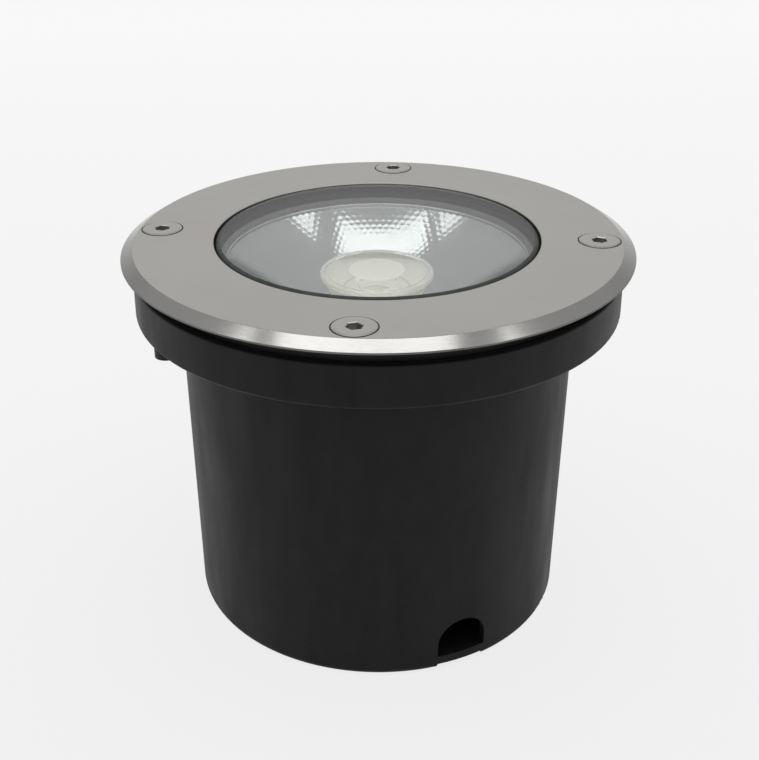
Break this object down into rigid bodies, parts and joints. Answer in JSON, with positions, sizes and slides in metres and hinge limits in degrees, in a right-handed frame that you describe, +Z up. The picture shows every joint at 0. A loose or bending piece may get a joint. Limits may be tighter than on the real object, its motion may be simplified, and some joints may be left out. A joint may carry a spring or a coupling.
{
  "type": "in ground well light",
  "caption": "Round recessed ground light with a steel trim ring, stepped glass and faceted reflector, in a moulded mounting sleeve with a cable notch.",
  "frame": {"origin": "centre of the mounting sleeve's foot, on the lamp's axis", "axes": "+Z up along the lamp's axis, -Y towards the viewer's side, +X to the right"},
  "size_m": [0.15, 0.15, 0.1176],
  "materials": {
    "black_plastic": "fine matt moulded",
    "dark_casting": "matt powder coat on a die casting",
    "stainless_steel": "fine brushed, with a bright bevel",
    "clear_glass": "clear toughened, polished",
    "clear_lens": "clear optical plastic",
    "black_rubber": "matt silicone",
    "silvered_reflector": "vacuum metallised facets",
    "grey_bezel": "matt moulded",
    "plain_aluminium": "milled",
    "grey_pad": "soft pad",
    "chip_board": "satin",
    "yellow_phosphor": "satin silicone",
    "white_plastic": "moulded",
    "zinc_steel": "zinc plated",
    "case_plastic": "moulded",
    "green_board": "solder mask",
    "dark_core": "moulded",
    "red_insulation": "silicone insulation",
    "black_insulation": "silicone insulation",
    "black_nylon": "moulded nylon"
  },
  "bodies": {
    "sleeve": {"mounting_sleeve": "black_plastic", "sleeve_floor": "black_plastic"},
    "lamp": {"lamp_body": "dark_casting", "earth_screw": "zinc_steel", "heat_sink_plate": "plain_aluminium", "plate_screws": "zinc_steel", "thermal_pad": "grey_pad", "cob_board": "chip_board", "cob_phosphor": "yellow_phosphor", "cob_holder": "white_plastic", "holder_screws": "zinc_steel", "lens": "clear_lens", "reflector": "silvered_reflector", "bezel_ring": "grey_bezel", "driver_case": "case_plastic", "driver_lid": "case_plastic", "driver_screws": "zinc_steel", "driver_board": "green_board", "driver_transformer": "dark_core", "driver_capacitors": "dark_core", "led_lead_red": "red_insulation", "led_lead_black": "black_insulation", "terminal_block": "white_plastic", "gland_body": "black_nylon", "gland_nut": "black_nylon", "gland_seal": "black_rubber", "gland_washer": "black_rubber", "gland_locknut": "black_nylon"},
    "cover": {"trim_ring": "stainless_steel", "cover_glass": "clear_glass", "glass_gasket": "black_rubber"},
    "screw_1": {"trim_screw_1": "stainless_steel"},
    "screw_2": {"trim_screw_2": "stainless_steel"},
    "screw_3": {"trim_screw_3": "stainless_steel"},
    "screw_4": {"trim_screw_4": "stainless_steel"}
  },
  "joints": [
    {"name": "lamp_lift", "type": "slide", "parent": "sleeve", "child": "lamp", "axis": [0, 0, 1], "range_m": [0, 0.12]},
    {"name": "cover_lift", "type": "slide", "parent": "lamp", "child": "cover", "axis": [0, 0, 1], "range_m": [0, 0.05]},
    {"name": "screw_1_withdraw", "type": "slide", "parent": "cover", "child": "screw_1", "axis": [0, 0, 1], "range_m": [0, 0.02]},
    {"name": "screw_2_withdraw", "type": "slide", "parent": "cover", "child": "screw_2", "axis": [0, 0, 1], "range_m": [0, 0.02]},
    {"name": "screw_3_withdraw", "type": "slide", "parent": "cover", "child": "screw_3", "axis": [0, 0, 1], "range_m": [0, 0.02]},
    {"name": "screw_4_withdraw", "type": "slide", "parent": "cover", "child": "screw_4", "axis": [0, 0, 1], "range_m": [0, 0.02]}
  ]
}
